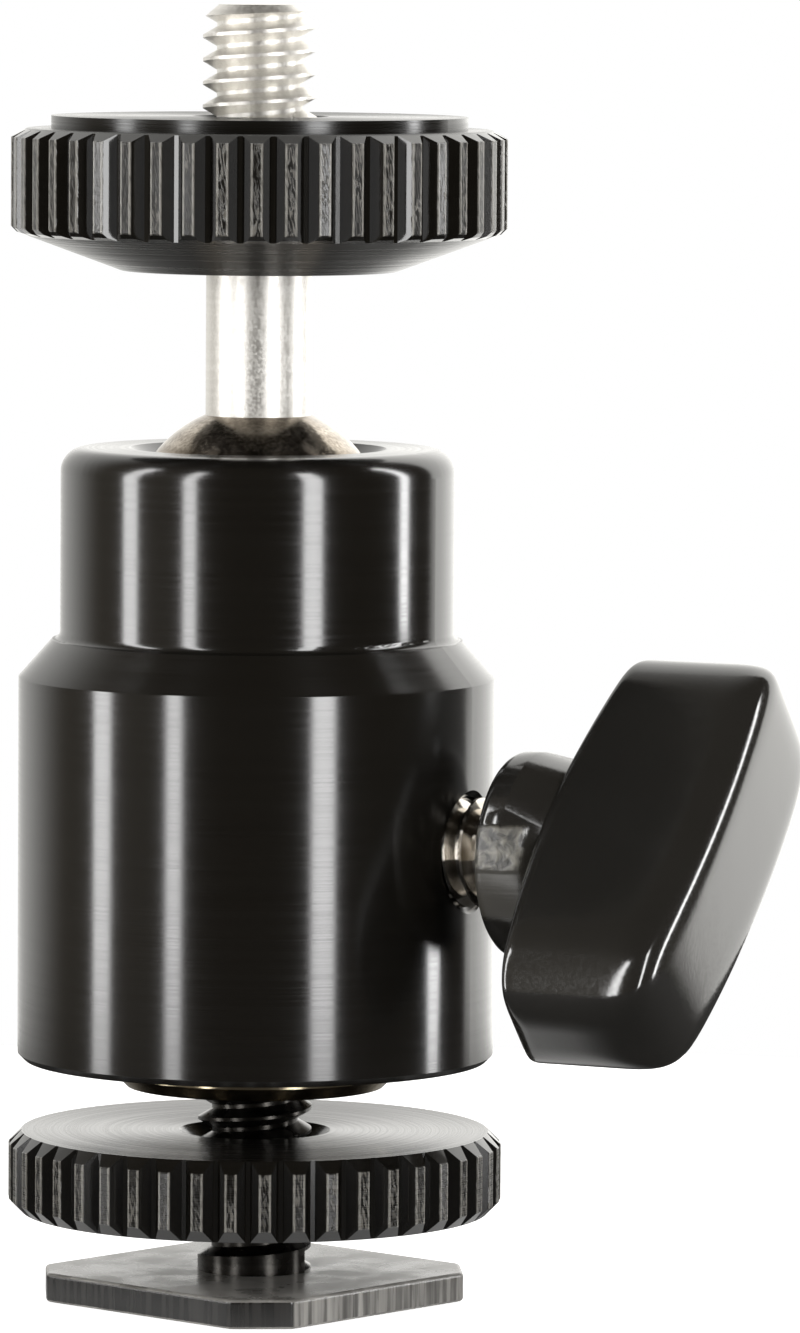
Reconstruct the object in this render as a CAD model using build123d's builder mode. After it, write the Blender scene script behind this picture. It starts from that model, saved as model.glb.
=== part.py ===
from build123d import *
import os
from math import atan, cos, radians, sin, sqrt, tan

# Miniature ball head on a hot-shoe foot, for a lamp, a microphone or a small camera.
# Lengths are in millimetres. +Z is up, the origin is the middle of the foot's underside,
# the clamping knob points along +X and the drop notch opens at the back, between +Y and -X.

# ---------------------------------------------------------------- driving sizes
# 1/4-20 camera thread, on both studs
camera_thread_r = 3.11
camera_thread_pitch = 1.27
# M6 thread of the clamping screw
lock_thread_r = 2.97
lock_thread_pitch = 1.0
flank_half_angle = 30.0
crest_share = 0.14
floor_share = 0.17
rod_seam_turn = 37
# share of the crest by which the groove's profile is drawn beyond it, so that the cut is clean
groove_mouth_share = 0.8
# how far a cutting shape reaches past the face it opens
past_face = 1.0
running_gap = 0.05
seated_gap = 0.02
# free length past the end of a screw or pin in its blind hole
end_room = 0.5

# foot that slides into the camera's shoe
foot_width = 18.6
foot_thickness = 1.6
foot_corner_cut = 2.45
foot_corner_round = 0.6
foot_edge_round = 0.22
foot_turn = -16.0
rivet_r = 2.4
rivet_flare = 0.7

# knurled clamping disc under the body
lower_disc_bottom = 4.9
lower_disc_height = 4.39
lower_disc_r = 13.5
lower_disc_edge = 0.7
lower_disc_sink_r = 4.15
lower_disc_teeth = 46
lower_disc_knurl_turn = -2.0

# body
body_bottom = 13.25
body_r = 13.02
body_bottom_chamfer = 0.35
shoulder_low = 34.2
shoulder_high = 36.25
neck_r = 10.76
neck_foot_round = 0.45
body_top = 46.7
body_top_round = 1.3
bore_r = 7.4

# screwed plug that closes the body and takes the stud
plug_gap = 0.06
plug_below_body = 1.48
plug_flange_r = 7.75
plug_top = 20.0
plug_edge = 0.7
plug_thread_mouth_r = 3.75
stud_engagement = 5.4
spring_well_r = 5.9
spring_well_depth = 2.0

# ball and socket
ball_centre = 41.9
ball_r = 7.22
socket_gap = 0.06
lip_height = 4.0
lip_bevel_r = 7.0
stem_r = 2.88
stem_spigot_r = 2.4
stem_spigot_length = 7.0
notch_width = 6.4
notch_turn = 120.0

# camera stud and its knurled disc
upper_disc_bottom = 56.37
upper_disc_underside_r = 7.55
upper_disc_knurl_low = 58.45
upper_disc_knurl_high = 64.05
upper_disc_r = 13.5
upper_disc_edge = 0.85
upper_disc_edge_height = 0.48
upper_disc_low_edge = 0.3
upper_disc_pad_inset = 2.17
upper_disc_pad_height = 0.7
upper_disc_sink_r = 3.75
upper_disc_teeth = 46
upper_disc_knurl_turn = 2.8
stud_thread_inset = 1.17
stud_top = 70.8
stud_tip_r = 2.25
stud_tip_chamfer = 0.75

# grooves of both knurls
knurl_depth = 0.72
knurl_land_share = 0.31
knurl_floor_share = 0.13

# clamping wedge inside the body
piston_gap = 0.08
piston_bottom = 20.9
seat_bottom = 35.2
seat_top = 38.2
seat_gap = 0.1
seat_bore_r = 3.7
piston_dish_r = 4.4
piston_dish_depth = 1.0
spring_wire_r = 0.35
spring_mean_r = 4.9
spring_turns = 2.5
washer_thickness = 0.4
washer_r = 5.7
washer_bore_r = 3.4

# clamping screw with its swivel tip, across the body
screw_height = 25.24
screw_end_gap = 0.5
screw_head_flats = 6.6
screw_head_height = 4.0
screw_end_chamfer = 0.5
screw_hole_mouth_r = 3.35
tip_r = 2.2
tip_collar = 1.0
tip_nose_r = 0.7
tip_shank_r = 1.2
tip_shank_length = 2.5
wedge_half_angle = 30.0
wedge_gap = 0.12
wedge_end_room = 0.8

# knob: a round boss that carries a broad two-ended wing, its places measured along +X
knob_turn = 47.9
boss_r = 5.6
boss_gap = 2.68
boss_length = 1.7
boss_edge_round = 0.5
boss_in_wing = 2.0
wing_length = 26.2
wing_thickness = 8.6
wing_back_radius = 72.0
wing_depth = 12.5
screw_head_depth = 1.5
wing_dome_radius = 36.0
wing_outer_round = 3.35
wing_inner_round = 3.35

os.makedirs("parts", exist_ok=True)


# ---------------------------------------------------------------- shared shapes
def threaded_rod(crest_r, pitch, foot, low, high):
    """A round rod from foot up, with a helical V groove from low to high, for trimming to a screw."""
    half_crest = pitch * crest_share / 2
    flank_slope = tan(radians(flank_half_angle))
    floor_half = pitch * floor_share / 2
    depth = (pitch / 2 - half_crest - floor_half) / flank_slope
    beyond = groove_mouth_share * half_crest / flank_slope
    mouth_half = pitch / 2 - half_crest + beyond * flank_slope
    with BuildPart() as groove:
        with BuildLine() as path:
            Helix(pitch=pitch, height=high - low, radius=crest_r, center=(0, 0, low))
        with BuildSketch(Plane(origin=(crest_r, 0, low), x_dir=(1, 0, 0), z_dir=(0, -1, 0))):
            with BuildLine():
                Polyline(
                    (-depth, -floor_half),
                    (beyond, -mouth_half),
                    (beyond, mouth_half),
                    (-depth, floor_half),
                    close=True,
                )
            make_face()
        sweep(path=path.wires()[0], is_frenet=True)
    with BuildPart() as rod:
        # the rod's own seam is turned away from the start of the groove
        with BuildSketch(Plane.XY.offset(foot).rotated((0, 0, rod_seam_turn))):
            Circle(crest_r)
        extrude(amount=high + 2 * pitch - foot)
        add(groove.part, mode=Mode.SUBTRACT)
    return rod.part


def knurl_cutter(radius, teeth, turn, low, high):
    """A ring of straight grooves with slanted walls and a narrow floor, one between each two teeth."""
    half_pitch = radius * radians(180 / teeth)
    half_floor = half_pitch * knurl_floor_share
    half_groove = half_pitch * (1 - knurl_land_share)
    mouth = half_groove + (half_groove - half_floor) * past_face / knurl_depth
    with BuildPart() as grooves:
        with BuildSketch(Plane.XY.offset(low)):
            with PolarLocations(0, teeth, turn):
                Polygon(
                    (radius - knurl_depth, half_floor),
                    (radius - knurl_depth, -half_floor),
                    (radius + past_face, -mouth),
                    (radius + past_face, mouth),
                    align=None,
                )
        extrude(amount=high - low)
    return grooves.part


# ---------------------------------------------------------------- foot
with BuildPart() as shoe_plate:
    with BuildSketch(Plane.XY):
        outline = Rectangle(foot_width, foot_width, rotation=foot_turn)
        chamfer(outline.vertices(), foot_corner_cut)
    extrude(amount=foot_thickness)
    fillet(shoe_plate.edges().filter_by(Axis.Z), foot_corner_round)
    rims = shoe_plate.edges().group_by(Axis.Z)
    fillet(rims[0] + rims[-1], foot_edge_round)
    Hole(rivet_r + seated_gap)
    # countersink below, filled by the riveted end of the stud
    with BuildSketch(Plane.XY):
        Circle(rivet_r + seated_gap + rivet_flare)
    with BuildSketch(Plane.XY.offset(rivet_flare)):
        Circle(rivet_r + seated_gap)
    loft(mode=Mode.SUBTRACT)

# ---------------------------------------------------------------- shoe stud
plug_r = bore_r - plug_gap
plug_bottom = body_bottom - plug_below_body
shoe_stud_top = plug_bottom + stud_engagement
with BuildPart() as shoe_stud:
    with BuildSketch(Plane.XZ):
        with BuildLine():
            Polyline(
                (0, 0),
                (rivet_r + rivet_flare, 0),
                (rivet_r, rivet_flare),
                (rivet_r, foot_thickness),
                (camera_thread_r, foot_thickness),
                (camera_thread_r, shoe_stud_top - stud_tip_chamfer),
                (stud_tip_r, shoe_stud_top),
                (0, shoe_stud_top),
                close=True,
            )
        make_face()
    revolve(axis=Axis.Z)
    add(
        threaded_rod(
            camera_thread_r,
            camera_thread_pitch,
            -camera_thread_pitch,
            foot_thickness + camera_thread_pitch / 2,
            shoe_stud_top + camera_thread_pitch,
        ),
        mode=Mode.INTERSECT,
    )

# ---------------------------------------------------------------- lower disc
lower_disc_top = lower_disc_bottom + lower_disc_height
lower_disc_face_r = lower_disc_r - lower_disc_edge
disc_bore_r = camera_thread_r + running_gap
with BuildPart() as shoe_lock_disc:
    with BuildSketch(Plane.XZ):
        with BuildLine():
            Polyline(
                (disc_bore_r, lower_disc_bottom),
                (lower_disc_face_r, lower_disc_bottom),
                (lower_disc_r, lower_disc_bottom + lower_disc_edge),
                (lower_disc_r, lower_disc_top - lower_disc_edge),
                (lower_disc_face_r, lower_disc_top),
                (lower_disc_sink_r, lower_disc_top),
                (disc_bore_r, lower_disc_top - (lower_disc_sink_r - disc_bore_r)),
                close=True,
            )
        make_face()
    revolve(axis=Axis.Z)
    add(
        knurl_cutter(
            lower_disc_r,
            lower_disc_teeth,
            lower_disc_knurl_turn,
            lower_disc_bottom - past_face,
            lower_disc_top + past_face,
        ),
        mode=Mode.SUBTRACT,
    )

# ---------------------------------------------------------------- base plug
stud_hole_r = camera_thread_r + running_gap
stud_hole_top = shoe_stud_top + end_room
with BuildPart() as base_plug:
    with BuildSketch(Plane.XZ):
        with BuildLine():
            Polyline(
                (plug_thread_mouth_r, plug_bottom),
                (plug_flange_r - plug_edge, plug_bottom),
                (plug_flange_r, plug_bottom + plug_edge),
                (plug_flange_r, body_bottom - seated_gap),
                (plug_r, body_bottom - seated_gap),
                (plug_r, plug_top),
                (spring_well_r, plug_top),
                (spring_well_r, plug_top - spring_well_depth),
                (0, plug_top - spring_well_depth),
                (0, stud_hole_top),
                (stud_hole_r, stud_hole_top),
                (stud_hole_r, plug_bottom + plug_thread_mouth_r - stud_hole_r),
                close=True,
            )
        make_face()
    revolve(axis=Axis.Z)

# ---------------------------------------------------------------- body
socket_r = ball_r + socket_gap
lip_z = ball_centre + lip_height
lip_r = sqrt(socket_r**2 - lip_height**2)
notch_r = notch_width / 2
screw_hole_r = lock_thread_r + running_gap
with BuildPart() as housing:
    with BuildSketch(Plane.XZ):
        with BuildLine():
            Polyline(
                (0, body_bottom),
                (body_r - body_bottom_chamfer, body_bottom),
                (body_r, body_bottom + body_bottom_chamfer),
                (body_r, shoulder_low),
                (neck_r + neck_foot_round, shoulder_high),
            )
            # small hollow round where the neck stands on the shoulder
            RadiusArc(
                (neck_r + neck_foot_round, shoulder_high),
                (neck_r, shoulder_high + neck_foot_round),
                neck_foot_round,
            )
            Line((neck_r, shoulder_high + neck_foot_round), (neck_r, body_top - body_top_round))
            RadiusArc(
                (neck_r, body_top - body_top_round),
                (neck_r - body_top_round, body_top),
                -body_top_round,
            )
            Polyline((neck_r - body_top_round, body_top), (0, body_top), (0, body_bottom))
        make_face()
    revolve(axis=Axis.Z)
    # bore, half-round socket and bevelled lip, as one turned cut
    with BuildSketch(Plane.XZ):
        with BuildLine():
            Polyline((0, body_bottom - past_face), (bore_r, body_bottom - past_face), (bore_r, ball_centre))
            Line((bore_r, ball_centre), (socket_r, ball_centre))
            ThreePointArc(
                (socket_r, ball_centre),
                (socket_r * cos(0.5 * atan(lip_height / lip_r)),
                 ball_centre + socket_r * sin(0.5 * atan(lip_height / lip_r))),
                (lip_r, lip_z),
            )
            Polyline(
                (lip_r, lip_z),
                (lip_bevel_r, body_top),
                (lip_bevel_r, body_top + past_face),
                (0, body_top + past_face),
                (0, body_bottom - past_face),
            )
        make_face()
    revolve(axis=Axis.Z, mode=Mode.SUBTRACT)
    # drop notch, round at its foot
    notch_way = (cos(radians(notch_turn)), sin(radians(notch_turn)), 0)
    notch_across = (-notch_way[1], notch_way[0], 0)
    with BuildSketch(Plane(origin=(0, 0, 0), x_dir=notch_across, z_dir=notch_way)):
        with Locations((0, ball_centre)):
            Circle(notch_r)
        with Locations((0, ball_centre + body_top / 2)):
            Rectangle(notch_width, body_top)
    extrude(amount=body_r + past_face, mode=Mode.SUBTRACT)
    # hole for the clamping screw, with a countersunk mouth
    mouth_start = body_r - (screw_hole_mouth_r - screw_hole_r)
    past_body = body_r + past_face
    with BuildSketch(Plane(origin=(0, 0, screw_height), x_dir=(1, 0, 0), z_dir=(0, -1, 0))):
        with BuildLine():
            Polyline(
                (bore_r / 2, 0),
                (bore_r / 2, screw_hole_r),
                (mouth_start, screw_hole_r),
                (past_body, screw_hole_r + past_body - mouth_start),
                (past_body, 0),
                close=True,
            )
        make_face()
    revolve(axis=Axis((0, 0, screw_height), (1, 0, 0)), mode=Mode.SUBTRACT)

# ---------------------------------------------------------------- clamping wedge
screw_end = bore_r + screw_end_gap
tip_nose_x = screw_end - tip_collar - (tip_r - tip_nose_r) / tan(radians(wedge_half_angle))
with BuildPart() as clamp_piston:
    with BuildSketch(Plane.XY.offset(piston_bottom)):
        Circle(bore_r - piston_gap)
    extrude(amount=seat_bottom - piston_bottom)
    # dish that clears the underside of the ball
    with BuildSketch(Plane.XY.offset(seat_bottom - piston_dish_depth)):
        Circle(piston_dish_r)
    extrude(amount=piston_dish_depth, mode=Mode.SUBTRACT)
    # conical pocket for the screw's tip: a little low, so that the tip lifts the wedge
    with BuildSketch(Plane(origin=(0, 0, screw_height), x_dir=(1, 0, 0), z_dir=(0, -1, 0))):
        with BuildLine():
            Polyline(
                (tip_nose_x - wedge_end_room, 0),
                (tip_nose_x - wedge_end_room, tip_nose_r + wedge_gap),
                (tip_nose_x, tip_nose_r + wedge_gap),
                (screw_end - tip_collar, tip_r + wedge_gap),
                (screw_end + past_face, tip_r + wedge_gap + past_face),
                (screw_end + past_face, 0),
                close=True,
            )
        make_face()
    revolve(axis=Axis((0, 0, screw_height), (1, 0, 0)), mode=Mode.SUBTRACT)

# nylon ring that carries the ball
with BuildPart() as ball_seat:
    with BuildSketch(Plane.XY.offset(seat_bottom + running_gap)):
        Circle(bore_r - seat_gap)
        Circle(seat_bore_r, mode=Mode.SUBTRACT)
    extrude(amount=seat_top - seat_bottom - running_gap)
    with Locations((0, 0, ball_centre)):
        Sphere(ball_r + running_gap, mode=Mode.SUBTRACT)

# thrust washer under the wedge, and the spring that holds it up
spring_foot = plug_top - spring_well_depth
washer_top = piston_bottom - running_gap
with BuildPart() as thrust_washer:
    with BuildSketch(Plane.XY.offset(washer_top - washer_thickness)):
        Circle(washer_r)
        Circle(washer_bore_r, mode=Mode.SUBTRACT)
    extrude(amount=washer_thickness)

spring_head = washer_top - washer_thickness
spring_rise = spring_head - spring_foot - 2 * spring_wire_r - 2 * seated_gap
with BuildPart() as cup_spring:
    with BuildLine() as coil:
        Helix(
            pitch=spring_rise / spring_turns,
            height=spring_rise,
            radius=spring_mean_r,
            center=(0, 0, spring_foot + spring_wire_r + seated_gap),
        )
    with BuildSketch(Plane(coil.line @ 0, z_dir=coil.line % 0)):
        Circle(spring_wire_r)
    sweep(path=coil.wires()[0], is_frenet=True)

# ---------------------------------------------------------------- ball and camera stud
stem_seat = ball_centre + sqrt(ball_r**2 - stem_r**2) - seated_gap
with BuildPart() as ball:
    with Locations((0, 0, ball_centre)):
        Sphere(ball_r)
    # flat that the stem's shoulder sits on, and the hole for its spigot
    with BuildSketch(Plane.XY.offset(stem_seat)):
        Circle(ball_r)
    extrude(amount=ball_r, mode=Mode.SUBTRACT)
    with BuildSketch(Plane.XY.offset(stem_seat)):
        Circle(stem_spigot_r + seated_gap)
    extrude(amount=-stem_spigot_length, mode=Mode.SUBTRACT)

thread_start = upper_disc_bottom + stud_thread_inset
stud_rod = threaded_rod(
    camera_thread_r,
    camera_thread_pitch,
    ball_centre - ball_r,
    thread_start + camera_thread_pitch,
    stud_top + camera_thread_pitch,
)
with BuildPart() as camera_stud:
    with BuildSketch(Plane.XZ):
        with BuildLine():
            Polyline(
                (0, stem_seat - stem_spigot_length + seated_gap),
                (stem_spigot_r, stem_seat - stem_spigot_length + seated_gap),
                (stem_spigot_r, stem_seat),
                (stem_r, stem_seat),
                (stem_r, thread_start),
                (camera_thread_r, thread_start + camera_thread_r - stem_r),
                (camera_thread_r, stud_top - stud_tip_chamfer),
                (stud_tip_r, stud_top),
                (0, stud_top),
                close=True,
            )
        make_face()
    revolve(axis=Axis.Z)
    add(stud_rod, mode=Mode.INTERSECT)

# ---------------------------------------------------------------- upper disc
upper_disc_top = upper_disc_knurl_high + upper_disc_pad_height
upper_disc_edge_r = upper_disc_r - upper_disc_edge
upper_disc_pad_r = upper_disc_r - upper_disc_pad_inset
with BuildPart() as camera_lock_disc:
    with BuildSketch(Plane.XZ):
        with BuildLine():
            Polyline(
                (disc_bore_r, upper_disc_bottom),
                (upper_disc_underside_r, upper_disc_bottom),
                (upper_disc_r - upper_disc_low_edge, upper_disc_knurl_low),
                (upper_disc_r, upper_disc_knurl_low + upper_disc_low_edge),
                (upper_disc_r, upper_disc_knurl_high - upper_disc_edge_height),
                (upper_disc_edge_r, upper_disc_knurl_high),
                (upper_disc_pad_r, upper_disc_knurl_high),
                (upper_disc_pad_r, upper_disc_top),
                (upper_disc_sink_r, upper_disc_top),
                (disc_bore_r, upper_disc_top - (upper_disc_sink_r - disc_bore_r)),
                close=True,
            )
        make_face()
    revolve(axis=Axis.Z)
    add(
        knurl_cutter(
            upper_disc_r,
            upper_disc_teeth,
            upper_disc_knurl_turn,
            upper_disc_bottom - past_face,
            upper_disc_knurl_high + past_face,
        ),
        mode=Mode.SUBTRACT,
    )

# ---------------------------------------------------------------- clamping screw
with BuildPart() as lock_tip:
    with BuildSketch(Plane(origin=(0, 0, screw_height), x_dir=(1, 0, 0), z_dir=(0, -1, 0))):
        with BuildLine():
            Polyline(
                (tip_nose_x, 0),
                (tip_nose_x, tip_nose_r),
                (screw_end - tip_collar, tip_r),
                (screw_end - running_gap, tip_r),
                (screw_end - running_gap, tip_shank_r),
                (screw_end + tip_shank_length, tip_shank_r),
                (screw_end + tip_shank_length, 0),
                close=True,
            )
        make_face()
    revolve(axis=Axis((0, 0, screw_height), (1, 0, 0)))

boss_start = body_r + boss_gap
wing_inner = boss_start + boss_length
screw_head_start = wing_inner + screw_head_depth
wing_x = (0, sin(radians(knob_turn)), cos(radians(knob_turn)))
# the head's flats lie along the wing's broad faces
screw_end_plane = Plane(origin=(screw_end, 0, screw_height), x_dir=wing_x, z_dir=(1, 0, 0))
screw_length = screw_head_start - screw_end
with BuildPart() as lock_screw_upright:
    with BuildSketch(Plane.XZ):
        with BuildLine():
            Polyline(
                (tip_shank_r + running_gap, 0),
                (lock_thread_r - screw_end_chamfer, 0),
                (lock_thread_r, screw_end_chamfer),
                (lock_thread_r, screw_length),
                (0, screw_length),
                (0, tip_shank_length + end_room),
                (tip_shank_r + running_gap, tip_shank_length + end_room),
                close=True,
            )
        make_face()
    revolve(axis=Axis.Z)
    add(
        threaded_rod(
            lock_thread_r,
            lock_thread_pitch,
            -3 * lock_thread_pitch,
            -lock_thread_pitch,
            screw_length - lock_thread_pitch,
        ),
        mode=Mode.INTERSECT,
    )
    # hexagon head, held in the moulded knob
    with BuildSketch(Plane.XY.offset(screw_length)):
        RegularPolygon(screw_head_flats / 2, 6, major_radius=False)
    extrude(amount=screw_head_height)
with BuildPart() as lock_screw:
    add(screw_end_plane.location * lock_screw_upright.part)

# ---------------------------------------------------------------- knob
wing_normal = (0, -cos(radians(knob_turn)), sin(radians(knob_turn)))
wing_outer = wing_inner + wing_depth
half_length = wing_length / 2
half_thickness = wing_thickness / 2
wing_end_outer = wing_outer - (wing_dome_radius - sqrt(wing_dome_radius**2 - half_length**2))
wing_end_inner = wing_inner + wing_back_radius - sqrt(wing_back_radius**2 - half_length**2)
with BuildPart() as lock_knob:
    # the wing's outline from the side: domed outside, slightly domed inside
    with BuildSketch(Plane(origin=(0, 0, screw_height), x_dir=(1, 0, 0), z_dir=wing_normal)):
        with BuildLine():
            Line((wing_end_outer, -half_length), (wing_end_inner, -half_length))
            ThreePointArc(
                (wing_end_inner, -half_length), (wing_inner, 0), (wing_end_inner, half_length)
            )
            Line((wing_end_inner, half_length), (wing_end_outer, half_length))
            ThreePointArc(
                (wing_end_outer, half_length), (wing_outer, 0), (wing_end_outer, -half_length)
            )
        make_face()
    extrude(amount=half_thickness, both=True)
    # and from the end of the screw, with round ends
    with BuildSketch(Plane(origin=(wing_inner - past_face, 0, screw_height), x_dir=wing_x, z_dir=(1, 0, 0))):
        SlotOverall(wing_length, wing_thickness)
    extrude(amount=wing_depth + 2 * past_face, mode=Mode.INTERSECT)
    fillet(lock_knob.faces().sort_by(Axis.X)[-1].edges(), wing_outer_round)
    fillet(lock_knob.faces().sort_by(Axis.X)[0].edges(), wing_inner_round)
    # boss
    with BuildSketch(Plane(origin=(boss_start, 0, screw_height), x_dir=(0, 1, 0), z_dir=(1, 0, 0))):
        Circle(boss_r)
    extrude(amount=boss_length + boss_in_wing)
    rim = lock_knob.edges().filter_by(GeomType.CIRCLE).sort_by(Axis.X)[0]
    fillet(rim, boss_edge_round)
    # room for the screw and its head
    with BuildSketch(Plane(origin=(boss_start, 0, screw_height), x_dir=(0, 1, 0), z_dir=(1, 0, 0))):
        Circle(lock_thread_r + seated_gap)
    extrude(amount=screw_head_start - boss_start, mode=Mode.SUBTRACT)
    with BuildSketch(
        Plane(origin=(screw_head_start - seated_gap, 0, screw_height), x_dir=wing_x, z_dir=(1, 0, 0))
    ):
        RegularPolygon(screw_head_flats / 2 + seated_gap, 6, major_radius=False)
    extrude(amount=screw_head_height + 2 * seated_gap, mode=Mode.SUBTRACT)

# ---------------------------------------------------------------- files
pieces = {
    "shoe_plate": shoe_plate,
    "shoe_stud": shoe_stud,
    "shoe_lock_disc": shoe_lock_disc,
    "base_plug": base_plug,
    "housing": housing,
    "clamp_piston": clamp_piston,
    "ball_seat": ball_seat,
    "thrust_washer": thrust_washer,
    "cup_spring": cup_spring,
    "ball": ball,
    "camera_stud": camera_stud,
    "camera_lock_disc": camera_lock_disc,
    "lock_tip": lock_tip,
    "lock_screw": lock_screw,
    "lock_knob": lock_knob,
}
for label, piece in pieces.items():
    piece.part.label = label
    export_step(piece.part, f"parts/{label}.step")
    size = piece.part.bounding_box().size
    print(label, len(piece.part.solids()), round(piece.part.volume, 2), size)
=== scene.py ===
# %% [markdown]
# # A miniature ball head with a hot-shoe foot
# The solids of the ball head come ready made from the CAD model. This notebook dresses them:
# every finish is a small graph of shader nodes, and then a studio with lamps and a camera is
# set up around the part. Lengths are in metres, +Z is up, and the axis of the body is the Z axis.

import math

import bpy
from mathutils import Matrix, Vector


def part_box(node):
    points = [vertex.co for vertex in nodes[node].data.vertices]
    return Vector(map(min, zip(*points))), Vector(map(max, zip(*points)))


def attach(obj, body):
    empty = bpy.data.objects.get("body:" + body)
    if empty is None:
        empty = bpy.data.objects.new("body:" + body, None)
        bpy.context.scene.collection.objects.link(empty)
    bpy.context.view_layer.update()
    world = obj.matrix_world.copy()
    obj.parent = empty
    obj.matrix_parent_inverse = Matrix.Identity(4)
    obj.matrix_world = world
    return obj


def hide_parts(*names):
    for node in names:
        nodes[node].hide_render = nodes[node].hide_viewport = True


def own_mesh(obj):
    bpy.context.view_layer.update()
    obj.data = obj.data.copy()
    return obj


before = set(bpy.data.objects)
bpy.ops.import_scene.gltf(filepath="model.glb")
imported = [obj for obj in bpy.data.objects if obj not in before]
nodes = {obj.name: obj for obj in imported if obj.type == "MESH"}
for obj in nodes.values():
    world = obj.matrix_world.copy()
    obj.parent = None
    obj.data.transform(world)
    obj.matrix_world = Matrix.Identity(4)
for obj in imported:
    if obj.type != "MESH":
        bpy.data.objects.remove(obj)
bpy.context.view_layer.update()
mm = 0.001
print("loaded", len(nodes), "solids")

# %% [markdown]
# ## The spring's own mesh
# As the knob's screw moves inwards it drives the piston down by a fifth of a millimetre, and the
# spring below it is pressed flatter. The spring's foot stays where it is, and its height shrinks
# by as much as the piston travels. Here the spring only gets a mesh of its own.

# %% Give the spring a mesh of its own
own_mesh(nodes["cup_spring"])

# %% [markdown]
# ## Helpers for shader graphs
# A material is a graph of nodes. Small helpers keep the cells below short: one makes an empty
# material with its Principled shader, one adds a node and sets its inputs, one joins a node's
# result to an input, and others stand for the nodes that are used most. An input's name is
# written with an underscore for each space, and its number with an underscore before it.


# %% Shader helpers
def new_finish(name):
    """An empty node material, with its Principled shader."""
    finish = bpy.data.materials.new(name)
    finish.use_nodes = True
    shader = finish.node_tree.nodes["Principled BSDF"]
    return finish, finish.node_tree, shader


def put(tree, kind, settings=None, **inputs):
    """Adds a node. settings are its own properties, inputs are values or sockets to join."""
    node = tree.nodes.new(kind)
    for key, value in (settings or {}).items():
        setattr(node, key, value)
    for key, value in inputs.items():
        plug(tree, node, key, value)
    return node


def plug(tree, node, key, value):
    """Sets one input of a node, or joins another node's output to it."""
    name = key.strip("_")
    socket = node.inputs[int(name)] if name.isdigit() else node.inputs[name.replace("_", " ")]
    if isinstance(value, bpy.types.NodeSocket):
        tree.links.new(value, socket)
    else:
        socket.default_value = value


def maths(tree, operation, *values):
    """One Math node. Returns its result."""
    node = put(tree, "ShaderNodeMath", {"operation": operation})
    for index, value in enumerate(values):
        plug(tree, node, str(index), value)
    return node.outputs[0]


def span(tree, value, low, high, start=0.0, end=1.0):
    """Maps a value from low..high to start..end, with smooth ends. Returns the result."""
    node = put(tree, "ShaderNodeMapRange", {"interpolation_type": "SMOOTHSTEP"}, Value=value)
    for key, number in (("From_Min", low), ("From_Max", high), ("To_Min", start), ("To_Max", end)):
        plug(tree, node, key, number)
    return node.outputs["Result"]


def blend_colour(tree, share, first, second):
    """Mixes two colours by a share. Returns the colour."""
    node = put(tree, "ShaderNodeMix", {"data_type": "RGBA"}, _0=share, _6=first, _7=second)
    return node.outputs[2]


def new_group(name, inputs, outputs):
    """A reusable group of nodes. Each socket has a name and a type, and an input a value too."""
    group = bpy.data.node_groups.new(name, "ShaderNodeTree")
    for label, kind, value in inputs:
        socket = group.interface.new_socket(label, in_out="INPUT", socket_type=kind)
        if value is not None:
            socket.default_value = value
    for label, kind in outputs:
        group.interface.new_socket(label, in_out="OUTPUT", socket_type=kind)
    return group, put(group, "NodeGroupInput").outputs, put(group, "NodeGroupOutput")


def use_group(tree, group, **inputs):
    """Places a group in a material. Returns its outputs."""
    node = tree.nodes.new("ShaderNodeGroup")
    node.node_tree = group
    for key, value in inputs.items():
        plug(tree, node, key, value)
    return node.outputs


def dress(finish, *names):
    """Gives a finish to solids, in all their material slots."""
    for name in names:
        for slot in nodes[name].material_slots:
            slot.material = finish
        if not nodes[name].material_slots:
            nodes[name].data.materials.append(finish)
    print(finish.name, "on", ", ".join(names))


print("helpers ready")

# %% [markdown]
# ## Turning lines
# Every turned surface keeps the fine rings that the lathe tool left. On a cylinder the rings
# follow the height, and on a flat face they follow the radius, so the height less a part of the
# radius gives one coordinate that works on both, and on the ball too. A stretched noise on that
# coordinate gives rings of uneven depth, and a little noise along the ring breaks them up.

# %% Turning lines, as a group
radius_share = 0.7  # of the radius in the coordinate
broad_share = 0.13  # how many broad streaks there are for one ring
fine_drift, broad_drift = 60.0, 25.0  # change along a ring, per metre

turning, given, result = new_group(
    "turning_lines",
    [("Vector", "NodeSocketVector", None), ("Pitch", "NodeSocketFloat", 0.05 * mm)],
    [("Height", "NodeSocketFloat"), ("Streaks", "NodeSocketFloat")],
)
parts = put(turning, "ShaderNodeSeparateXYZ", Vector=given["Vector"])
square_x = maths(turning, "MULTIPLY", parts.outputs["X"], parts.outputs["X"])
square_y = maths(turning, "MULTIPLY", parts.outputs["Y"], parts.outputs["Y"])
radius = maths(turning, "SQRT", maths(turning, "ADD", square_x, square_y))
along = maths(turning, "SUBTRACT", parts.outputs["Z"], maths(turning, "MULTIPLY", radius, radius_share))
ring = maths(turning, "DIVIDE", along, given["Pitch"])
across = put(turning, "ShaderNodeCombineXYZ", X=maths(turning, "MULTIPLY", parts.outputs["X"], fine_drift),
             Y=maths(turning, "MULTIPLY", parts.outputs["Y"], fine_drift), Z=ring)
fine = put(turning, "ShaderNodeTexNoise", {"noise_dimensions": "3D"}, Vector=across.outputs[0],
           Scale=1.0, Detail=2.0)
broad_ring = maths(turning, "MULTIPLY", ring, broad_share)
broad_across = put(turning, "ShaderNodeCombineXYZ",
                   X=maths(turning, "MULTIPLY", parts.outputs["X"], broad_drift),
                   Y=maths(turning, "MULTIPLY", parts.outputs["Y"], broad_drift), Z=broad_ring)
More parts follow.
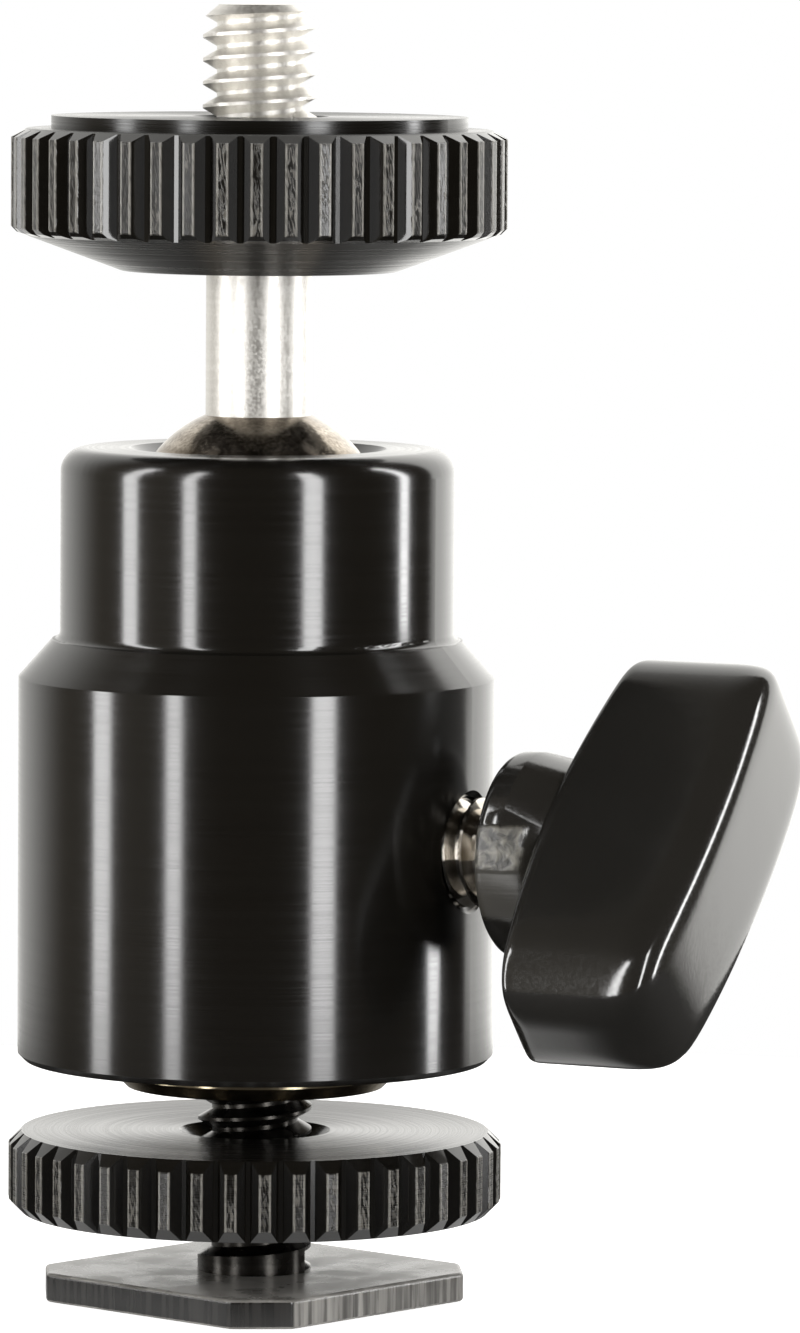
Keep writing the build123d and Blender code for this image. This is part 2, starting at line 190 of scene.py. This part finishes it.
broad = put(turning, "ShaderNodeTexNoise", {"noise_dimensions": "3D"}, Vector=broad_across.outputs[0],
            Scale=1.0, Detail=3.0)
turning.links.new(fine.outputs["Fac"], result.inputs["Height"])
turning.links.new(broad.outputs["Fac"], result.inputs["Streaks"])
print("group", turning.name)

# %% [markdown]
# ## Where a point lies on a knurl
# A straight knurl repeats around the disc. The angle of a point, times the number of teeth over
# a full turn, gives a whole number at each groove, so its fraction tells how far along one tooth
# the point is. Together with the distance from the axis it finds the crests, which the knurling
# wheel squeezed up rough, their two edges, where a painted highlight goes, and the smooth walls of the
# grooves.

# %% Knurl crests, as a group
disc_radius = 13.5 * mm
crest_depth = (0.10 * mm, 0.03 * mm)  # a point this far below the outside starts, and is, crest
wall_top = (0.05 * mm, 0.12 * mm)
wall_foot = (0.80 * mm, 0.72 * mm)
edge_place = 0.150  # of a tooth, from the middle of its crest
edge_width = (0.050, 0.022)

knurl, given, result = new_group(
    "knurl_crests",
    [("Vector", "NodeSocketVector", None), ("Radius", "NodeSocketFloat", disc_radius),
     ("Teeth", "NodeSocketFloat", 46.0), ("Turn", "NodeSocketFloat", 0.0)],
    [("Crest", "NodeSocketFloat"), ("Edges", "NodeSocketFloat"), ("Wall", "NodeSocketFloat"),
     ("Beads", "NodeSocketFloat")],
)
parts = put(knurl, "ShaderNodeSeparateXYZ", Vector=given["Vector"])
flat = put(knurl, "ShaderNodeCombineXYZ", X=parts.outputs["X"], Y=parts.outputs["Y"])
reach = put(knurl, "ShaderNodeVectorMath", {"operation": "LENGTH"}, _0=flat.outputs[0]).outputs["Value"]
below = maths(knurl, "SUBTRACT", given["Radius"], reach)
crest = span(knurl, below, *crest_depth)
wall = maths(knurl, "MULTIPLY", span(knurl, below, *wall_top), span(knurl, below, *wall_foot))
angle = maths(knurl, "ARCTAN2", parts.outputs["Y"], parts.outputs["X"])
turned = maths(knurl, "SUBTRACT", angle, given["Turn"])
tooth = maths(knurl, "MULTIPLY", turned, maths(knurl, "DIVIDE", given["Teeth"], 2 * math.pi))
share = maths(knurl, "ABSOLUTE", maths(knurl, "SUBTRACT", maths(knurl, "FRACT", tooth), 0.5))
from_edge = maths(knurl, "ABSOLUTE", maths(knurl, "SUBTRACT", share, edge_place))
# The two edges of a crest, where the finish paints a highlight.
edges = maths(knurl, "MULTIPLY", crest, span(knurl, from_edge, *edge_width))
slant = maths(knurl, "MULTIPLY", parts.outputs["Z"], 900.0)
bead_place = put(knurl, "ShaderNodeCombineXYZ", X=maths(knurl, "MULTIPLY", tooth, 7.0),
                 Y=maths(knurl, "ADD", slant, maths(knurl, "MULTIPLY", tooth, 4.0)))
beads = put(knurl, "ShaderNodeTexNoise", Vector=bead_place.outputs[0], Scale=2.2, Detail=3.0,
            Distortion=0.4)
knurl.links.new(crest, result.inputs["Crest"])
knurl.links.new(edges, result.inputs["Edges"])
knurl.links.new(wall, result.inputs["Wall"])
knurl.links.new(beads.outputs["Fac"], result.inputs["Beads"])
print("group", knurl.name)

# %% [markdown]
# ## Black anodised aluminium
# Anodising leaves a hard, glossy black skin on the turned metal. The grooves of the lathe run
# round the part, and they spread each highlight across them and hardly along them. Anisotropic
# does this: the Tangent node gives the direction round the axis, and a quarter turn of the
# rotation lays the spread across the grooves. On a knurl the crests are worn: bumps of bare
# metal show on them in patches. Along their two edges runs a painted highlight, a pale line of colour.


# %% Black anodised finish
deep_black, warm_black = (0.0040, 0.0034, 0.0026, 1), (0.0068, 0.0060, 0.0048, 1)
worn_crest, knurl_highlight_colour = (0.13, 0.122, 0.107, 1), (0.22, 0.21, 0.19, 1)
wall_roughness = 0.13


def turned_gloss(tree, shader, amount, axis="Z"):
    """Spreads the highlights of a turned surface across its grooves."""
    tangent = put(tree, "ShaderNodeTangent", {"direction_type": "RADIAL", "axis": axis})
    plug(tree, shader, "Tangent", tangent.outputs[0])
    shader.inputs["Anisotropic"].default_value = amount
    shader.inputs["Anisotropic Rotation"].default_value = 0.25


def anodised(name, rough, amount, reflect, crest=None, turn=0.0):
    """Glossy black anodising. reflect is its IOR, crest a knurl's radius, and turn the angle of
    one of its grooves in degrees."""
    finish, tree, shader = new_finish(name)
    place = put(tree, "ShaderNodeTexCoord").outputs["Object"]
    rings = use_group(tree, turning, Vector=place, Pitch=0.055 * mm)
    grit = put(tree, "ShaderNodeTexNoise", Vector=place, Scale=3500.0, Detail=3.0)
    colour = blend_colour(tree, rings["Streaks"], deep_black, warm_black)
    shine = span(tree, rings["Height"], 0.30, 0.70, rough * 0.84, rough * 1.16)
    height = maths(tree, "ADD", rings["Height"], maths(tree, "MULTIPLY", grit.outputs["Fac"], 0.35))
    if crest:
        lands = use_group(tree, knurl, Vector=place, Radius=crest, Turn=math.radians(turn))
        patch = put(tree, "ShaderNodeTexNoise", Vector=place, Scale=330.0, Detail=2.0).outputs["Fac"]
        bumps = maths(tree, "MULTIPLY", span(tree, lands["Beads"], 0.47, 0.60),
                      span(tree, patch, 0.38, 0.60, 0.15, 1.0))
        wear = maths(tree, "MULTIPLY", lands["Crest"], bumps)
        colour = blend_colour(tree, wear, colour, worn_crest)
        # The crest edges get a painted highlight: a pale colour along them.
        knurl_edge_highlight = maths(tree, "MULTIPLY", lands["Edges"], span(tree, lands["Beads"], 0.25, 0.55, 0.35, 1.0))
        colour = blend_colour(tree, knurl_edge_highlight, colour, knurl_highlight_colour)
        shine = put(tree, "ShaderNodeMix", _0=lands["Wall"], _2=shine, _3=wall_roughness).outputs[0]
        shine = maths(tree, "ADD", shine, maths(tree, "MULTIPLY", lands["Crest"], 0.05))
        height = maths(tree, "ADD", height, maths(tree, "MULTIPLY", wear, 26.0))
    bump = put(tree, "ShaderNodeBump", Strength=0.5, Distance=0.0016 * mm, Height=height)
    plug(tree, shader, "Base_Color", colour)
    plug(tree, shader, "Roughness", shine)
    plug(tree, shader, "Normal", bump.outputs["Normal"])
    shader.inputs["IOR"].default_value = reflect
    turned_gloss(tree, shader, amount)
    return finish


dress(anodised("anodised_body", 0.19, 0.75, 1.75), "housing")
dress(anodised("anodised_shoe_disc", 0.24, 0.85, 1.6, crest=disc_radius, turn=-2.0), "shoe_lock_disc")
dress(anodised("anodised_camera_disc", 0.29, 0.85, 1.6, crest=disc_radius, turn=2.8), "camera_lock_disc")

# %% [markdown]
# ## Bright turned metal
# The camera stud and its stem are plain stainless steel. Bare metal shows its colour only in
# what it mirrors, so Metallic is 1 and the rings in the bump do the rest. The darker metals,
# such as the ball and the blackened shoe stud, are the same graph with other values.


# %% Turned metals
def turned_metal(name, dark, pale, rough, pitch=0.06 * mm, depth=0.002 * mm, along_x=None, amount=0.6,
                 grain=900.0):
    """Bare or stained metal with turning rings. pitch and depth are those of the rings, along_x
    the height of a shaft that lies along X, amount the anisotropy, and grain the fineness of
    the stains."""
    finish, tree, shader = new_finish(name)
    place = put(tree, "ShaderNodeTexCoord").outputs["Object"]
    if along_x is not None:
        turn = put(tree, "ShaderNodeMapping", {"vector_type": "TEXTURE"}, Vector=place,
                   Location=(0, 0, along_x), Rotation=(0, math.pi / 2, 0))
        place = turn.outputs[0]
    rings = use_group(tree, turning, Vector=place, Pitch=pitch)
    cloud = put(tree, "ShaderNodeTexNoise", Vector=place, Scale=grain, Detail=4.0)
    stain = maths(tree, "MULTIPLY", rings["Streaks"], cloud.outputs["Fac"])
    colour = blend_colour(tree, span(tree, stain, 0.1, 0.45), dark, pale)
    bump = put(tree, "ShaderNodeBump", Strength=0.5, Distance=depth, Height=rings["Height"])
    plug(tree, shader, "Base_Color", colour)
    plug(tree, shader, "Roughness", span(tree, cloud.outputs["Fac"], 0.3, 0.7, rough * 0.8, rough * 1.2))
    plug(tree, shader, "Normal", bump.outputs["Normal"])
    shader.inputs["Metallic"].default_value = 1.0
    turned_gloss(tree, shader, amount, "X" if along_x else "Z")
    return finish


screw_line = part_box("lock_screw")
screw_height = (screw_line[0].z + screw_line[1].z) / 2
brass_dark, brass_pale = (0.55, 0.40, 0.18, 1), (0.80, 0.62, 0.32, 1)
dress(turned_metal("stainless_stud", (0.78, 0.76, 0.715, 1), (0.92, 0.90, 0.86, 1), 0.44,
                   depth=0.0012 * mm, amount=0.1, grain=6000.0), "camera_stud")
dress(turned_metal("blackened_stud", (0.035, 0.033, 0.030, 1), (0.10, 0.095, 0.088, 1), 0.28), "shoe_stud")
dress(turned_metal("turned_ball", (0.24, 0.20, 0.155, 1), (0.56, 0.50, 0.42, 1), 0.20,
                   pitch=0.16 * mm, depth=0.0025 * mm, grain=5000.0), "ball")
dress(turned_metal("stained_plug", (0.42, 0.35, 0.24, 1), (0.62, 0.53, 0.38, 1), 0.20), "base_plug")
dress(turned_metal("plated_screw", (0.50, 0.46, 0.40, 1), (0.80, 0.76, 0.70, 1), 0.12,
                   along_x=screw_height), "lock_screw")
dress(turned_metal("plain_brass", brass_dark, brass_pale, 0.22), "clamp_piston")
dress(turned_metal("brass_tip", brass_dark, brass_pale, 0.22, along_x=screw_height), "lock_tip")
dress(turned_metal("spring_steel", (0.28, 0.28, 0.29, 1), (0.45, 0.45, 0.46, 1), 0.25),
      "cup_spring", "thrust_washer")

# %% [markdown]
# ## The punched foot
# The foot is punched from sheet and then blackened. Its faces are rubbed grey and faintly
# blotched, while the cut sides show the upright scratches of the punch. The height of a
# surface's normal tells faces from sides, and its direction picks out the side that faces the
# camera's right, which gets a painted reflection: a pale copy of the side colour.

# %% Foot plate
# The way, to the camera's right, of the side that gets a painted reflection, and its pale colours.
reflection_side_way = (0.90, 0.44, 0.0)
face_dark, face_pale = (0.17, 0.163, 0.15, 1), (0.44, 0.425, 0.40, 1)
side_dark, side_pale = (0.003, 0.0027, 0.0022, 1), (0.022, 0.020, 0.018, 1)
reflection_side_dark, reflection_side_pale = (0.06, 0.056, 0.05, 1), (0.40, 0.385, 0.36, 1)

finish, tree, shader = new_finish("punched_foot")
place = put(tree, "ShaderNodeTexCoord").outputs["Object"]
upright = put(tree, "ShaderNodeMapping", Vector=place, Scale=(2600.0, 2600.0, 120.0))
scratch = put(tree, "ShaderNodeTexNoise", Vector=upright.outputs[0], Scale=1.0, Detail=4.0)
blotch = put(tree, "ShaderNodeTexNoise", Vector=place, Scale=420.0, Detail=4.0)
facing = put(tree, "ShaderNodeNewGeometry").outputs["Normal"]
normal = put(tree, "ShaderNodeSeparateXYZ", Vector=facing)
side = span(tree, maths(tree, "ABSOLUTE", normal.outputs["Z"]), 0.55, 0.25)
pattern = put(tree, "ShaderNodeMix", _0=side, _2=blotch.outputs["Fac"], _3=scratch.outputs["Fac"])
# The side facing the camera's right is painted pale, a painted reflection of the bright backdrop.
turned = put(tree, "ShaderNodeVectorMath", {"operation": "DOT_PRODUCT"}, _0=facing, _1=reflection_side_way)
turned = turned.outputs["Value"]
painted_reflection_side = maths(tree, "MULTIPLY", side, span(tree, turned, 0.35, 0.60))
dull = maths(tree, "MULTIPLY", side, span(tree, turned, 0.60, 0.35))
share = span(tree, pattern.outputs[0], 0.3, 0.75)
colour = blend_colour(tree, share, face_dark, face_pale)
colour = blend_colour(tree, dull, colour, blend_colour(tree, share, side_dark, side_pale))
colour = blend_colour(tree, painted_reflection_side, colour, blend_colour(tree, share, reflection_side_dark, reflection_side_pale))
bump = put(tree, "ShaderNodeBump", Strength=0.5, Distance=0.006 * mm, Height=pattern.outputs[0])
plug(tree, shader, "Base_Color", colour)
plug(tree, shader, "Roughness", span(tree, pattern.outputs[0], 0.3, 0.7, 0.22, 0.34))
plug(tree, shader, "Normal", bump.outputs["Normal"])
shader.inputs["IOR"].default_value = 1.6
dress(finish, "shoe_plate")

# %% [markdown]
# ## The wing knob
# The knob is one moulding: a broad wing that the fingers turn, on a round boss. Its long edges
# are fairly crisp and its two ends are round and soft, which a fillet of one size can't give.
# Subdivision can: a coarse cage is smoothed into a surface that stays near the cage where its
# cuts lie close together, and rounds off where they lie far apart. So the cage is a block, cut
# near each edge at the distance of the wanted rounding, with its rows then pushed into place.

# %% Knob, the cage of the wing
knob_low, knob_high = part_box("lock_knob")
knob_turn = math.radians(47.9)
knob_height = (knob_low.z + knob_high.z) / 2
boss_length, boss_radius = 3.05 * mm, 5.6 * mm
wing_inner = knob_low.x + boss_length
wing_depth = knob_high.x - wing_inner - 0.85 * mm
wing_half, wing_thick = 12.9 * mm, 8.6 * mm
inner_cut, middle_cut = 0.7 * mm, 4.2 * mm
outer_cut = wing_depth - 2.6 * mm
side_cut = 2.4 * mm

# Each row across the wing, by its place along it: how far the outer and the inner face drop there,
# and what share of its width is left at the long edges and at the cuts beside them.
rows = ((4.5 * mm, 0.10 * mm, 0.25 * mm, 1.0, 1.0),
        (8.8 * mm, 0.42 * mm, 0.80 * mm, 1.0, 1.0),
        (10.8 * mm, 0.72 * mm, 1.00 * mm, 0.93, 0.9),
        (12.3 * mm, 1.45 * mm, 1.15 * mm, 0.66, 0.6),
        (wing_half, 3.20 * mm, 1.90 * mm, 0.32, 0.2))


def cage_points(cage, test):
    """Selects the cage's points that pass a test, in edit mode, and deselects the rest."""
    bpy.ops.mesh.select_all(action="DESELECT")
    bpy.ops.object.mode_set(mode="OBJECT")
    found = [point for point in cage.data.vertices if test(point.co)]
    for point in found:
        point.select = True
    bpy.ops.object.mode_set(mode="EDIT")
    return len(found)


def cut_at(cage, axis, place):
    """Cuts the whole cage straight across one axis."""
    way = Vector((0.0, 0.0, 0.0))
    way[axis] = 1.0
    bpy.ops.mesh.select_all(action="SELECT")
    bpy.ops.mesh.bisect(plane_co=way * place, plane_no=way)


bpy.ops.object.select_all(action="DESELECT")
bpy.ops.mesh.primitive_cube_add(size=1.0, scale=(wing_depth, wing_thick, 2 * wing_half),
                                location=(wing_depth / 2, 0, 0))
wing = bpy.context.object
wing.name = "knob_wing"
bpy.ops.object.transform_apply(location=True, rotation=True, scale=True)
bpy.ops.object.mode_set(mode="EDIT")
bpy.ops.mesh.select_mode(type="VERT")
for place in (inner_cut, middle_cut, outer_cut):
    cut_at(wing, 0, place)
for place in (-side_cut, side_cut):
    cut_at(wing, 1, place)
cuts_along = [row[0] for row in rows[:-1]]
for place in sorted([0.0] + cuts_along + [-place for place in cuts_along]):
    cut_at(wing, 2, place)
print("cage of", len(wing.data.vertices), "points at first")

# %% Knob, the cage pushed into shape
hair = 0.01 * mm
reach_in = 0.1 * mm


def at(value, place):
    """Tells whether a coordinate is at a place, on either side of the middle."""
    return abs(abs(value) - place) < hair


for place, outer_drop, inner_drop, edge_share, cut_share in rows:
    cage_points(wing, lambda p: at(p.z, place) and p.x > outer_cut - reach_in)
    bpy.ops.transform.translate(value=(-outer_drop, 0, 0))
    cage_points(wing, lambda p: at(p.z, place) and p.x < inner_cut + reach_in)
    bpy.ops.transform.translate(value=(inner_drop, 0, 0))
    for width, share in ((wing_thick / 2, edge_share), (side_cut, cut_share)):
        cage_points(wing, lambda p: at(p.z, place) and at(p.y, width))
        bpy.ops.transform.resize(value=(1, share, 1))
bpy.ops.object.mode_set(mode="OBJECT")
print("cage shaped")

# %% [markdown]
# Subdivision then smooths the cage. The boss is made from a cylinder that is pressed flatter
# where it runs into the wing, and it has a blind hole that takes the screw. At last both are
# joined, laid along the screw and turned to the place that the knob was left in.

# %% Knob, smoothed, with its boss
smooth_levels = 3
boss_overlap = 0.7 * mm  # how far the boss runs on into the wing
boss_cut = -1.5 * mm
rim_round, hole_radius, hole_depth = 0.6 * mm, 3.0 * mm, 3.2 * mm

bpy.ops.object.select_all(action="DESELECT")
wing.select_set(True)
bpy.context.view_layer.objects.active = wing
smoothing = wing.modifiers.new("smoothing", "SUBSURF")
smoothing.levels = smooth_levels
smoothing.render_levels = smooth_levels
bpy.ops.object.modifier_apply(modifier=smoothing.name)

bpy.ops.object.select_all(action="DESELECT")
bpy.ops.mesh.primitive_cylinder_add(vertices=96, radius=boss_radius, depth=boss_length + boss_overlap,
                                    rotation=(0, math.pi / 2, 0),
                                    location=((boss_overlap - boss_length) / 2, 0, 0))
boss = bpy.context.object
boss.name = "knob_boss"
bpy.ops.object.transform_apply(location=True, rotation=True, scale=True)
bpy.ops.object.mode_set(mode="EDIT")
bpy.ops.mesh.select_mode(type="VERT")
cut_at(boss, 0, boss_cut)
cage_points(boss, lambda p: p.x > 0)
bpy.ops.transform.resize(value=(1, 0.70, 1.04))
bpy.ops.mesh.select_mode(type="FACE")
bpy.ops.mesh.select_all(action="DESELECT")
bpy.ops.object.mode_set(mode="OBJECT")
for face in boss.data.polygons:
    face.select = face.center.x < -boss_length + hair and face.normal.x < -0.9
bpy.ops.object.mode_set(mode="EDIT")
bpy.ops.mesh.bevel(offset=rim_round, segments=5, affect="EDGES")
bpy.ops.mesh.select_all(action="DESELECT")
bpy.ops.object.mode_set(mode="OBJECT")
for face in boss.data.polygons:
    at_end = face.normal.x < -0.99 and face.center.x < -boss_length + hair
    face.select = at_end and face.area > 20 * mm * mm
bpy.ops.object.mode_set(mode="EDIT")
bpy.ops.mesh.inset(thickness=boss_radius - rim_round - hole_radius)
bpy.ops.mesh.extrude_region_move(TRANSFORM_OT_translate={"value": (hole_depth, 0, 0)})
bpy.ops.object.mode_set(mode="OBJECT")
print("boss of", len(boss.data.polygons), "faces")

# %% Knob, joined and laid in place
bpy.ops.object.select_all(action="DESELECT")
boss.select_set(True)
wing.select_set(True)
bpy.context.view_layer.objects.active = wing
bpy.ops.object.join()
wing.rotation_euler = (-knob_turn, 0, 0)
wing.location = (wing_inner, 0, knob_height)
bpy.ops.object.transform_apply(location=True, rotation=True, scale=True)
bpy.ops.object.shade_smooth_by_angle(angle=math.radians(35))
wing.name = "wing_knob"
wing.data.name = "wing_knob"
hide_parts("lock_knob")
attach(wing, "knob")
print("knob of", len(wing.data.polygons), "faces")

# %% [markdown]
# ## Moulded plastics
# The knob is black plastic from a polished mould: smooth and fairly glossy, with faint
# unevenness where it cooled. On the boss there is a rough patch where the gate was broken off,
# with drawn lines below it. The ring under the ball is plain nylon.

# %% Knob and seat
def band(tree, value, bottom, top):
    """One between two heights and zero outside. bottom and top give where each starts and ends."""
    return maths(tree, "MULTIPLY", span(tree, value, *bottom), span(tree, value, *top))


def times(tree, *values):
    """The product of some values."""
    product = values[0]
    for value in values[1:]:
        product = maths(tree, "MULTIPLY", product, value)
    return product


finish, tree, shader = new_finish("moulded_knob")
place = put(tree, "ShaderNodeTexCoord").outputs["Object"]
cooled = put(tree, "ShaderNodeTexNoise", Vector=place, Scale=160.0, Detail=2.0).outputs["Fac"]
grain = put(tree, "ShaderNodeTexNoise", Vector=place, Scale=5200.0, Detail=2.0).outputs["Fac"]
torn = put(tree, "ShaderNodeTexNoise", Vector=place, Scale=1500.0, Detail=5.0, Distortion=0.6)
torn = torn.outputs["Fac"]
stretched = put(tree, "ShaderNodeMapping", Vector=place, Scale=(150.0, 150.0, 4200.0)).outputs[0]
drawn = put(tree, "ShaderNodeTexNoise", Vector=stretched, Scale=1.0, Detail=3.0).outputs["Fac"]

where = put(tree, "ShaderNodeSeparateXYZ", Vector=place)
on_boss = span(tree, where.outputs["X"], knob_low.x + 2.9 * mm, knob_low.x + 2.4 * mm)
up = maths(tree, "SUBTRACT", where.outputs["Z"], knob_height)
scar = times(tree, on_boss, band(tree, up, (-0.5 * mm, -0.2 * mm), (2.2 * mm, 1.9 * mm)))
pulled = times(tree, on_boss, band(tree, up, (-3.2 * mm, -2.6 * mm), (0.0 * mm, -0.4 * mm)))

black = blend_colour(tree, cooled, (0.012, 0.0113, 0.0100, 1), (0.020, 0.019, 0.017, 1))
black = blend_colour(tree, times(tree, scar, span(tree, torn, 0.35, 0.7)), black, (0.20, 0.19, 0.16, 1))
black = blend_colour(tree, pulled, black, (0.050, 0.046, 0.038, 1))
shine = span(tree, grain, 0.3, 0.7, 0.11, 0.16)
shine = maths(tree, "ADD", shine, times(tree, maths(tree, "MAXIMUM", scar, pulled), 0.28))
height = maths(tree, "ADD", times(tree, cooled, 12.0), grain)
height = maths(tree, "ADD", height, times(tree, scar, torn, 60.0))
height = maths(tree, "ADD", height, times(tree, pulled, drawn, 9.0))
bump = put(tree, "ShaderNodeBump", Strength=0.5, Distance=0.004 * mm, Height=height)
plug(tree, shader, "Base_Color", black)
plug(tree, shader, "Roughness", shine)
plug(tree, shader, "Normal", bump.outputs["Normal"])
shader.inputs["IOR"].default_value = 1.9
wing.data.materials.clear()
wing.data.materials.append(finish)
print(finish.name, "on", wing.name)

finish, tree, shader = new_finish("natural_nylon")
place = put(tree, "ShaderNodeTexCoord").outputs["Object"]
cloud = put(tree, "ShaderNodeTexNoise", Vector=place, Scale=600.0, Detail=3.0)
nylon = blend_colour(tree, cloud.outputs["Fac"], (0.70, 0.68, 0.62, 1), (0.82, 0.80, 0.75, 1))
plug(tree, shader, "Base_Color", nylon)
plug(tree, shader, "Roughness", span(tree, cloud.outputs["Fac"], 0.3, 0.7, 0.38, 0.48))
dress(finish, "ball_seat")

# %% [markdown]
# ## Camera
# The camera stands low and well back with a long lens. Its place is worked out from the point
# that it looks at, its turn around the part, its height as an angle and its distance.

# %% Camera
camera_turn = math.radians(26.0)
camera_rise = math.radians(4.81)
camera_roll = math.radians(0.37)
camera_far = 0.490
toward = Vector((math.sin(camera_turn), -math.cos(camera_turn), 0.0))
rightward = Vector((math.cos(camera_turn), math.sin(camera_turn), 0.0))
aim_right, aim_height = 7.8 * mm, 34.8 * mm
aim = rightward * aim_right + Vector((0.0, 0.0, aim_height))
offset = toward * math.cos(camera_rise) + Vector((0.0, 0.0, math.sin(camera_rise)))
lens = bpy.data.cameras.new("studio_camera")
lens.sensor_fit = "AUTO"
lens.sensor_width = 36.0
lens.lens = 242.4
camera = bpy.data.objects.new("studio_camera", lens)
bpy.context.scene.collection.objects.link(camera)
camera.location = aim + offset * camera_far
camera.rotation_euler = offset.to_track_quat("Z", "Y").to_euler()
camera.rotation_euler.rotate_axis("Z", camera_roll)
bpy.context.scene.camera = camera
print("camera at", [round(v, 4) for v in camera.location])

# %% [markdown]
# ## Lamps
# Tall narrow softboxes stand around the part. A turned cylinder mirrors each one as an upright
# strip, so the side on which a softbox stands decides where its strip falls.


# %% Lamps
def softbox(name, side, spread, strength, height=1.9, far=1.0, middle=0.15):
    """A tall lamp that faces the part. side is its turn from the camera in degrees, to the right,
    and spread is how many degrees wide it looks from the part."""
    turn = math.radians(side)
    way = toward * math.cos(turn) + rightward * math.sin(turn)
    light = bpy.data.lights.new(name, "AREA")
    light.shape = "RECTANGLE"
    light.size = 2 * far * math.tan(math.radians(spread / 2))
    light.size_y = height
    light.energy = strength * math.pi * light.size * light.size_y
    lamp = bpy.data.objects.new(name, light)
    bpy.context.scene.collection.objects.link(lamp)
    lamp.location = way * far + Vector((0.0, 0.0, middle))
    lamp.rotation_euler = way.to_track_quat("Z", "Y").to_euler()
    lamp.visible_camera = False
    print("softbox", name, "at", side, "degrees")


softbox("strip_far_left", -78.5, 10.5, 8.0)
softbox("strip_left", -39.0, 8.0, 8.5)
softbox("strip_right", 33.0, 11.5, 9.0)
softbox("strip_far_right", 95.5, 7.0, 12.0)

# %% [markdown]
# ## Surroundings and floor
# The camera sees plain white behind the part. Mirrors in the part see a white backdrop behind
# it and a dim room around the camera, which is what gives the black body its depth. How far a
# direction points behind the part, and how far to its right, tells which of them lies there.
# The backdrop fades into the room on the left and ends sharply on the right.

# %% World
room_left, room_right = (0.21, 0.19, 0.158, 1), (0.050, 0.043, 0.033, 1)
backdrop_left, backdrop_right = (1.0, 0.99, 0.955, 1), (2.0, 1.98, 1.91, 1)

world = bpy.data.worlds.new("studio_room")
bpy.context.scene.world = world
world.use_nodes = True
tree = world.node_tree
tree.nodes.clear()
way = put(tree, "ShaderNodeTexCoord").outputs["Generated"]
behind = put(tree, "ShaderNodeVectorMath", {"operation": "DOT_PRODUCT"}, _0=way, _1=tuple(-toward))
rightness = put(tree, "ShaderNodeVectorMath", {"operation": "DOT_PRODUCT"}, _0=way, _1=tuple(rightward))
behind = behind.outputs["Value"]
rightness = rightness.outputs["Value"]
soft_edge = span(tree, behind, 0.20, 0.78)
sharp_edge = span(tree, behind, 0.52, 0.56)
right_half = span(tree, rightness, -0.35, 0.35)
room = blend_colour(tree, span(tree, rightness, -0.95, -0.30), room_left, room_right)
left_side = blend_colour(tree, soft_edge, room, backdrop_left)
right_side = blend_colour(tree, sharp_edge, room, backdrop_right)
backdrop = blend_colour(tree, right_half, left_side, right_side)
seen = put(tree, "ShaderNodeLightPath").outputs["Is Camera Ray"]
shown = blend_colour(tree, seen, backdrop, (1.0, 1.0, 1.0, 1))
light = put(tree, "ShaderNodeBackground", Color=shown, Strength=1.0)
put(tree, "ShaderNodeOutputWorld", Surface=light.outputs[0])
print("world ready")

# %% [markdown]
# The floor is white paper that also glows a little, so that the camera sees it as white as the
# backdrop while it still takes the part's shadow. In the part's own mirrors the paper close to the
# foot glows as a painted pool of light, and the rest is painted dark, as a floor beyond the light would
# be.

# %% Floor
floor_radius, floor_glow = 110 * mm, 0.85
just_below = 0.02 * mm

bpy.ops.object.select_all(action="DESELECT")
bpy.ops.mesh.primitive_circle_add(vertices=96, radius=floor_radius, fill_type="NGON",
                                  location=(0, 0, -just_below))
floor = bpy.context.object
floor.name = "studio_floor"
finish, tree, shader = new_finish("white_sweep")
place = put(tree, "ShaderNodeTexCoord").outputs["Object"]
paper = put(tree, "ShaderNodeTexNoise", Vector=place, Scale=300.0, Detail=3.0)
white = blend_colour(tree, paper.outputs["Fac"], (0.80, 0.80, 0.79, 1), (0.86, 0.86, 0.85, 1))
shader.inputs["Roughness"].default_value = 0.9
path = put(tree, "ShaderNodeLightPath").outputs
reach = put(tree, "ShaderNodeVectorMath", {"operation": "LENGTH"}, _0=place).outputs["Value"]
# In mirrors the paper away from the foot is painted dark, and close to it glows as a painted pool of
# light.
painted_dark_floor = maths(tree, "MULTIPLY", path["Is Glossy Ray"], span(tree, reach, 13 * mm, 22 * mm))
plug(tree, shader, "Base_Color", blend_colour(tree, painted_dark_floor, white, (0.02, 0.02, 0.02, 1)))
painted_floor_glow = maths(tree, "MULTIPLY", path["Is Glossy Ray"], span(tree, reach, 26 * mm, 14 * mm, 0.0, 0.4))
seen = maths(tree, "MAXIMUM", path["Is Camera Ray"], painted_floor_glow)
strength = maths(tree, "MULTIPLY", seen, floor_glow)
glow = put(tree, "ShaderNodeEmission", Color=(1, 1, 1, 1), Strength=strength)
both = put(tree, "ShaderNodeAddShader", _0=shader.outputs[0], _1=glow.outputs[0])
plug(tree, tree.nodes["Material Output"], "Surface", both.outputs[0])
floor.data.materials.append(finish)
print("floor ready")

# %% [markdown]
# ## Colour
# The Standard view shows a colour about as it is written.

# %% Colour
bpy.context.scene.view_settings.view_transform = "Standard"
